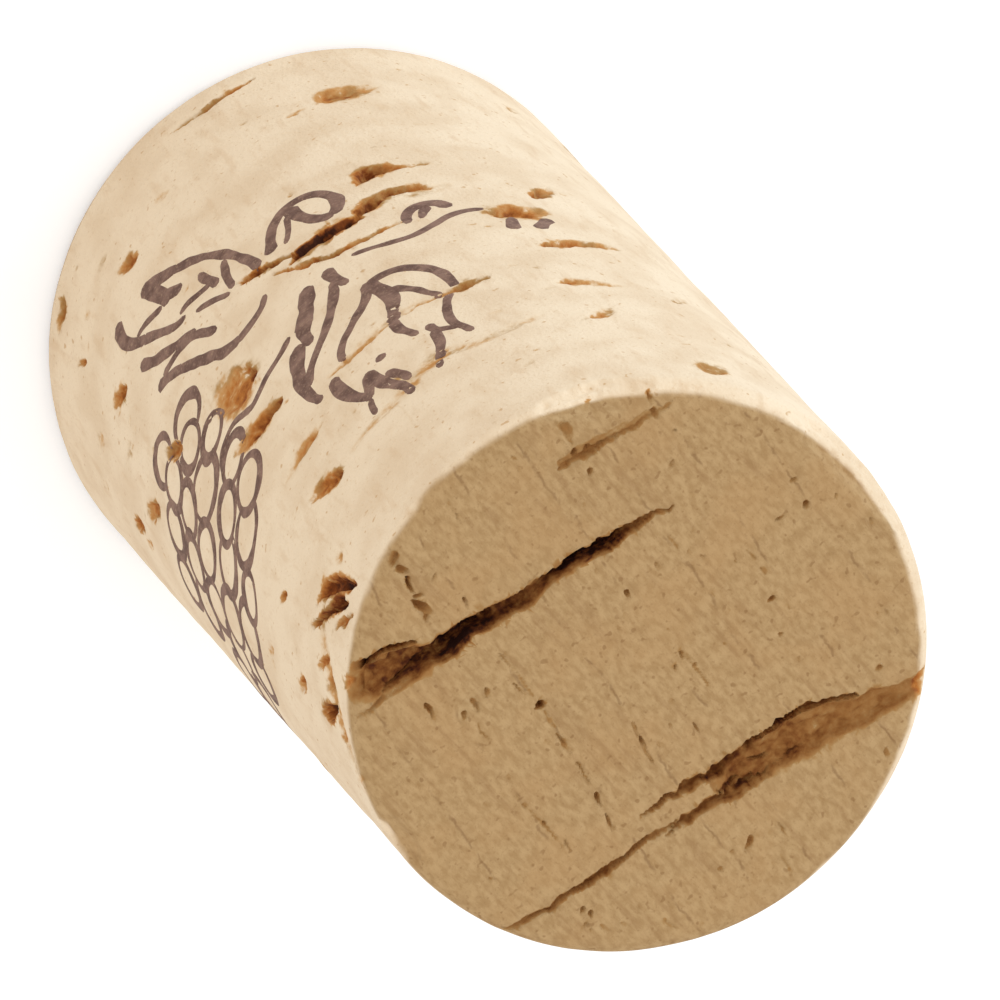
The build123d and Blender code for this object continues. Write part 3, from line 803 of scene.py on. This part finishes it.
def smooth_line(corners):
    """Points along a smooth curve through the corners."""
    corners = np.array(corners)
    padded = np.concatenate([corners[:1], corners, corners[-1:]])
    points = []
    for before, start, end, after in zip(padded, padded[1:], padded[2:], padded[3:]):
        count = max(1, round(np.linalg.norm(end - start) / INK_STEP))
        for share in np.arange(count) / count:
            bend = (2 * before - 5 * start + 4 * end - after) * share ** 2
            twist = (3 * start - before - 3 * end + after) * share ** 3
            points.append((2 * start + (end - before) * share + bend + twist) / 2)
    return np.array(points + [corners[-1]])


def grape_lines():
    """Outline of each grape, where no grape in front covers it, as points and widths."""
    lines = []
    for index, (centre, height, radius) in enumerate(GRAPES):
        count = round(2 * math.pi * radius / INK_STEP)
        turns = np.arange(count + 1) / count * 2 * math.pi
        # The bulge and the wider side turn from grape to grape.
        reach = radius * (1 + GRAPE_BULGE * np.cos(2 * turns + index))
        ring = np.stack([centre + reach * np.cos(turns), height + reach * np.sin(turns)], 1)
        widths = GRAPE_LINE * (1 + GRAPE_SHADE * np.cos(turns - 2 * index))
        seen = np.ones(len(ring), bool)
        for other, level, size in GRAPES[index + 1:]:
            seen &= np.hypot(ring[:, 0] - other, ring[:, 1] - level) > size - GRAPE_LINE / 4
        lines += [(ring[first:last], widths[first:last]) for first, last in stretches(seen)]
    return lines


def stretches(flags):
    """First and last index of each unbroken stretch of True."""
    edges = np.flatnonzero(np.diff(np.concatenate([[0], flags.astype(int), [0]])))
    pairs = zip(edges[::2], edges[1::2])
    return [(first, last) for first, last in pairs if last - first >= INK_SHORTEST]


class Print:
    """Ink laid on the finished cork: thin closed bands that follow its skin."""

    def __init__(self, body):
        self.cork = BVHTree.FromObject(body, bpy.context.evaluated_depsgraph_get())
        self.vertices = []
        self.faces = []

    def skin_at(self, way, height):
        """Outward direction and radius of the cork's skin, at a place on the unrolled side."""
        turn = way / RADIUS
        out = Vector((math.sin(turn), -math.cos(turn), 0))
        above = out * (RADIUS + RAY_START) + Vector((0, 0, height))
        hit = self.cork.ray_cast(above * MM, -out)
        return out, RADIUS + RAY_START - hit[3] / MM

    def lay(self, points, widths):
        """Bands along points of the unrolled side, broken where a pore lies in the way."""
        radii = np.array([self.skin_at(*point)[1] for point in points])
        for first, last in stretches(radii > RADIUS - INK_REACH):
            self.band(points[first:last], widths[first:last])

    def band(self, points, widths):
        """One unbroken band, closed at both tips."""
        tangents = np.gradient(points, axis=0)
        tangents /= np.linalg.norm(tangents, axis=1)[:, None]
        sides = np.stack([-tangents[:, 1], tangents[:, 0]], 1)
        start = len(self.vertices)
        for point, side, width in zip(points, sides, widths):
            for across, lift in INK_SECTION:
                way, height = point + side * across * width / 2
                out, radius = self.skin_at(way, height)
                radius = max(radius, RADIUS - INK_REACH)
                self.vertices.append((out * (radius + lift) + Vector((0, 0, height))) * MM)
        count = len(INK_SECTION)
        for row in range(start, start + count * (len(points) - 1), count):
            for edge in range(count):
                after = (edge + 1) % count
                self.faces.append((row + edge, row + after, row + count + after, row + count + edge))
        self.faces.append(tuple(range(start + count - 1, start - 1, -1)))
        self.faces.append(tuple(range(len(self.vertices) - count, len(self.vertices))))

    def stroke(self, start_width, end_width, corners):
        """Stroke with worn edges and tapered ends."""
        points = smooth_line(corners)
        share = np.linspace(0, 1, len(points))
        widths = start_width + (end_width - start_width) * share
        from_tip = np.minimum(share, 1 - share) * len(points) * INK_STEP
        taper = INK_TIP + (1 - INK_TIP) * smooth(0, INK_TAPER, from_tip)
        self.lay(points, worn_width(points, widths) * taper)

    def piece(self, name, ink):
        """The bands as one piece of the print."""
        mesh = bpy.data.meshes.new(name)
        mesh.from_pydata(self.vertices, [], self.faces)
        mesh.materials.append(ink)
        print_piece = placed(name, mesh)
        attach(print_piece, "root")


def worn_width(points, widths):
    """Widths of a printed line, uneven as where ink spreads and fails."""
    spots = np.concatenate([points, np.zeros((len(points), 1))], 1)
    return widths * waves(spots, *INK_WAVES)


def grape_print(body, ink):
    """A bunch of grapes between two leaves, all drawn as outlines."""
    leaves = {
        "print_upper_leaf": UPPER_LEAF,
        "print_bract": BRACT,
        "print_lower_leaf": LOWER_LEAF,
        "print_bud": BUD,
        "print_tendril": TENDRIL,
    }
    for name, strokes in leaves.items():
        drawing = Print(body)
        for start_width, end_width, corners in strokes:
            drawing.stroke(start_width, end_width, corners)
        drawing.piece(name, ink)
    bunch = Print(body)
    for line, widths in grape_lines():
        bunch.lay(line, worn_width(line, widths))
    bunch.piece("print_grapes", ink)


def paint(red, green, blue):
    """Linear colour from red, green and blue of 0 to 255 as a screen shows them."""
    linear = [((share + 0.055) / 1.055) ** 2.4 for share in (red / 255, green / 255, blue / 255)]
    return (*linear, 1)


class Shader:
    """Short calls that add nodes to one new material or world."""

    def __init__(self, name, library=bpy.data.materials):
        self.block = library.new(name)
        self.block.use_nodes = True
        self.tree = self.block.node_tree
        self.tree.nodes.clear()

    def add(self, kind, values=(), **settings):
        """New node. Values go to its inputs, and a socket as a value becomes a link."""
        node = self.tree.nodes.new(kind)
        for name, setting in settings.items():
            setattr(node, name, setting)
        for key, value in dict(values).items():
            if isinstance(value, bpy.types.NodeSocket):
                self.tree.links.new(value, node.inputs[key])
            else:
                node.inputs[key].default_value = value
        return node

    def place(self):
        """Place on the object, in millimetres."""
        metres = self.add("ShaderNodeTexCoord").outputs["Object"]
        return self.scaled(metres, (1 / MM, 1 / MM, 1 / MM))

    def scaled(self, vector, factors):
        return self.add("ShaderNodeVectorMath", {0: vector, 1: factors}, operation="MULTIPLY").outputs[0]

    def math(self, operation, *values):
        return self.add("ShaderNodeMath", enumerate(values), operation=operation).outputs[0]

    def noise(self, vector, cell, detail=2.0):
        """Noise of 0 to 1 with cells of so many millimetres."""
        values = {"Vector": vector, "Scale": 1 / cell, "Detail": detail}
        return self.add("ShaderNodeTexNoise", values).outputs[0]

    def step(self, value, low, high):
        """Smooth step from 0 at low to 1 at high. High may be below low."""
        values = {"Value": value, "From Min": low, "From Max": high}
        return self.add("ShaderNodeMapRange", values, interpolation_type="SMOOTHSTEP").outputs[0]

    def mix(self, share, first, second):
        return self.add("ShaderNodeMix", {0: share, 6: first, 7: second}, data_type="RGBA").outputs[2]

    def tint(self, colour, where, strength, other):
        """The colour, with another over it where the mask says, at this strength."""
        return self.mix(self.math("MULTIPLY", where, strength), colour, other)

    def flecks(self, colour, rows):
        """The colour, tinted by rows of (noise, where it starts, where it is full, strength, tint)."""
        for noise, low, high, strength, other in rows:
            colour = self.tint(colour, self.step(noise, low, high), strength, paint(*other))
        return colour

    def attribute(self, name):
        return self.add("ShaderNodeAttribute", attribute_name=name).outputs["Fac"]

    def ramp(self, value, stops):
        """Colour that follows a value through stops of (value, red, green, blue)."""
        node = self.add("ShaderNodeValToRGB", {0: value})
        spots = node.color_ramp.elements
        while len(spots) < len(stops):
            spots.new(0.5)
        for spot, (position, *colour) in zip(spots, stops):
            spot.position = position
            spot.color = paint(*colour)
        return node.outputs[0]

    def surface(self, values):
        """Principled surface with these values, as a finished material."""
        shading = self.add("ShaderNodeBsdfPrincipled", values)
        self.add("ShaderNodeOutputMaterial", {"Surface": shading.outputs[0]})
        return self.block

    def matt(self, colour, height, depth, roughness):
        """Matt material with this colour and relief, which is so many millimetres deep."""
        bump = self.add("ShaderNodeBump", {"Height": height, "Distance": depth * MM, "Strength": 1.0})
        values = {"Base Color": colour, "Roughness": roughness, "Normal": bump.outputs[0]}
        return self.surface({**values, "Specular IOR Level": 0.25})


# Depth of a pit at the end of the scale of colours, which runs from brown stain to painted shade
DARKEST_PIT = 2.0


def cork_material():
    """Bare cork: pale mottled side, browner ends that are partly end grain and partly painted shade,
    growth rings, and pores that are stained brown and painted darker with depth as shade.
    """
    shader = Shader("natural_cork")
    place = shader.place()
    grain = shader.scaled(place, (1, 1, 0.3))
    speckle = shader.noise(place, 0.16, 3.0)
    dots = shader.noise(place, 0.33, 1.0)
    blotches = shader.noise(place, 3.0, 4.0)
    streaks = shader.noise(grain, 0.6, 4.0)

    cells = shader.noise(shader.scaled(place, (1, 0.5, 1)), 0.26, 3.0)
    rows = shader.noise(shader.scaled(place, (1, 0.12, 1)), 0.35, 3.0)
    side = shader.flecks(
        paint(243, 219, 186),
        [
            (blotches, 0.38, 0.68, 1, (233, 206, 171)),
            (streaks, 0.52, 0.74, 0.35, (216, 180, 138)),
            (speckle, 0.58, 0.75, 0.3, (208, 168, 118)),
            (dots, 0.70, 0.78, 0.6, (198, 150, 92)),
        ],
    )
    # Ends: browner and darker than the side, partly end grain and partly painted shade
    end = shader.flecks(
        paint(191, 157, 111),
        [
            (cells, 0.3, 0.7, 1, (172, 137, 92)),
            (blotches, 0.42, 0.68, 0.4, (186, 146, 98)),
            (speckle, 0.55, 0.72, 0.35, (154, 118, 76)),
            (rows, 0.52, 0.75, 0.4, (152, 114, 72)),
            (dots, 0.66, 0.76, 0.5, (136, 98, 56)),
        ],
    )

    # Growth rings: distance to the nearest of the planes that cross X
    wobble = shader.math("SUBTRACT", shader.noise(place, 5.0), 0.5)
    ripple = shader.math("SUBTRACT", shader.noise(place, 0.5), 0.5)
    wobble = shader.math("ADD", wobble, shader.math("MULTIPLY", ripple, 0.35))
    lean = {0: place, 1: (1, -RING_LEAN, 0)}
    across = shader.add("ShaderNodeVectorMath", lean, operation="DOT_PRODUCT").outputs["Value"]
    across = shader.math("ADD", across, wobble)
    turns = shader.math("DIVIDE", shader.math("SUBTRACT", across, RING_PLACE), RING_SPACING)
    gap = shader.math("MULTIPLY", shader.math("PINGPONG", turns, 0.5), RING_SPACING)
    broken = shader.step(shader.noise(grain, 1.1, 4.0), 0.48, 0.62)
    ring = shader.math("MULTIPLY", shader.step(gap, 0.10, 0.01), broken)
    side = shader.tint(side, ring, 0.12, paint(200, 158, 106))
    end = shader.tint(end, ring, 0.45, paint(118, 82, 46))
    end_grain_and_shade_share = shader.attribute("end_grain_and_shade")
    plain = shader.mix(end_grain_and_shade_share, side, end)

    # Pores and cracks: their tone follows their depth, unevenly: brown stain where shallow, then painted
    # shade that darkens to near black in the deepest parts
    pit = shader.attribute("pit_mm")
    fibres = shader.noise(shader.scaled(place, (0.3, 1, 1)), 0.45, 3.0)
    uneven = shader.math("ADD", shader.noise(place, 0.3, 4.0), fibres)
    uneven = shader.math("MULTIPLY", shader.math("SUBTRACT", uneven, 1.0), 2.2)
    toned = shader.math("MULTIPLY", pit, shader.math("ADD", 1.0, uneven))
    share = shader.math("DIVIDE", toned, DARKEST_PIT)
    # Both scales: brown stain at shallow depth, then painted shade down to near black at the deepest
    side_stain_and_shade = shader.ramp(
        share,
        [
            (0.02, 220, 182, 134),
            (0.05, 204, 152, 92),
            (0.12, 184, 114, 48),
            (0.22, 134, 68, 20),
            (0.42, 66, 28, 8),
        ],
    )
    end_stain_and_shade = shader.ramp(
        share,
        [
            (0.02, 170, 132, 82),
            (0.10, 164, 118, 66),
            (0.24, 152, 102, 50),
            (0.42, 126, 74, 28),
            (0.60, 90, 42, 14),
            (0.80, 46, 16, 4),
        ],
    )
    # Some of the shallow stains are greener.
    olive = shader.step(shader.noise(place, 1.4, 2.0), 0.48, 0.62)
    olive = shader.math("MULTIPLY", olive, shader.step(share, 0.25, 0.08))
    side_stain_and_shade = shader.tint(side_stain_and_shade, olive, 0.4, paint(146, 120, 72))
    stain_and_shade = shader.mix(end_grain_and_shade_share, side_stain_and_shade, end_stain_and_shade)
    colour = shader.mix(shader.step(toned, 0.01, 0.12), plain, stain_and_shade)
    height = shader.math("ADD", speckle, shader.math("MULTIPLY", streaks, 0.6))
    return shader.matt(colour, height, depth=0.05, roughness=0.85)


def ink_material():
    """Brown-violet print, mottled, with a little cork showing where the ink is thin."""
    shader = Shader("print_ink")
    place = shader.place()
    mottle = shader.step(shader.noise(place, 0.7, 4.0), 0.3, 0.7)
    colour = shader.mix(mottle, paint(100, 70, 58), paint(142, 109, 92))
    thin = shader.step(shader.noise(place, 0.12, 2.0), 0.5, 0.8)
    colour = shader.tint(colour, thin, 0.6, paint(176, 144, 116))
    return shader.matt(colour, shader.noise(place, 0.16, 3.0), depth=0.03, roughness=0.75)


WHITE = (1, 1, 1, 1)
# The floor's own glow, seen only by the camera and in reflections, whitens the background.
FLOOR_SIZE = 6.0
FLOOR_COLOUR = (0.8, 0.8, 0.8, 1)
FLOOR_GLOW = 0.35


def seen_directly(shader):
    """1 for rays from the camera, and for those that mirrors and glass pass on."""
    path = shader.add("ShaderNodeLightPath").outputs
    seen = shader.math("MAXIMUM", path["Is Camera Ray"], path["Is Glossy Ray"])
    return shader.math("MAXIMUM", seen, path["Is Transmission Ray"])


def floor():
    """Plain pale floor that the stopper stands on."""
    shader = Shader("pale_floor")
    glow = shader.math("MULTIPLY", seen_directly(shader), FLOOR_GLOW)
    values = {"Base Color": FLOOR_COLOUR, "Roughness": 1.0, "Specular IOR Level": 0.0}
    values.update({"Emission Color": WHITE, "Emission Strength": glow})
    half = FLOOR_SIZE / 2
    mesh = bpy.data.meshes.new("floor")
    sheet = [(-half, -half, 0), (half, -half, 0), (half, half, 0), (-half, half, 0)]
    mesh.from_pydata(sheet, [], [(0, 1, 2, 3)])
    mesh.materials.append(shader.surface(values))
    ground = placed("floor", mesh)
    ground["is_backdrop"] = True


# Soft box: low and large, at the left, so that the end faces past it
KEY_DIRECTION = Vector((-1, 0.08, 0))
KEY_DISTANCE = 0.5
KEY_HEIGHT = 0.06
KEY_WIDTH = 0.26
KEY_RISE = 0.12
KEY_POWER = 0.8
KEY_COLOUR = (0.72, 1.0, 1.34)
# White, as the camera sees the room
SKY_LEVEL = 1.0


def light():
    """Soft key light from the left, in a pale even room."""
    lamp = bpy.data.lights.new("soft_box", "AREA")
    lamp.color = KEY_COLOUR
    lamp.shape = "RECTANGLE"
    lamp.size = KEY_WIDTH
    lamp.size_y = KEY_RISE
    lamp.energy = KEY_POWER
    key = placed("soft_box", lamp)
    key.location = KEY_DIRECTION.normalized() * KEY_DISTANCE + Vector((0, 0, KEY_HEIGHT))
    middle = Vector((0, 0, LENGTH * MM / 2))
    key.rotation_euler = (key.location - middle).to_track_quat("Z", "Y").to_euler()
    key.visible_camera = False

    shader = Shader("room", bpy.data.worlds)
    sky = shader.add("ShaderNodeBackground", {"Color": WHITE, "Strength": SKY_LEVEL})
    shader.add("ShaderNodeOutputWorld", {"Surface": sky.outputs[0]})
    bpy.context.scene.world = shader.block


# The photo's camera: far off, above the front, and turned about its line of sight
CAMERA_AIM = Vector((-0.00037, 0, 0.02392))
CAMERA_DISTANCE = 1.4592
CAMERA_ELEVATION = math.radians(65.48)
CAMERA_ROLL = math.radians(137.7)
CAMERA_LENS = 1310.6
CAMERA_REACH = 10


def camera():
    """Camera at the photo's place, with its frame."""
    eye = placed("camera", bpy.data.cameras.new("camera"))
    eye.data.lens = CAMERA_LENS
    eye.data.clip_end = CAMERA_REACH
    back = Vector((0, -math.cos(CAMERA_ELEVATION), math.sin(CAMERA_ELEVATION)))
    eye.location = CAMERA_AIM + back * CAMERA_DISTANCE
    eye.rotation_mode = "QUATERNION"
    eye.rotation_quaternion = back.to_track_quat("Z", "Y") @ Quaternion((0, 0, 1), CAMERA_ROLL)
    bpy.context.scene.camera = eye


def corners(box):
    """Lowest and highest corner as plain lists of metres."""
    return [list(corner) for corner in box]


cork = cork_body()
cork.data.materials.append(cork_material())
grape_print(cork, ink_material())
floor()
light()
camera()
bpy.context.scene.view_settings.view_transform = "Standard"
bpy.context.view_layer.update()
{"cad": corners(cad_box), "visual": corners(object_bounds())}
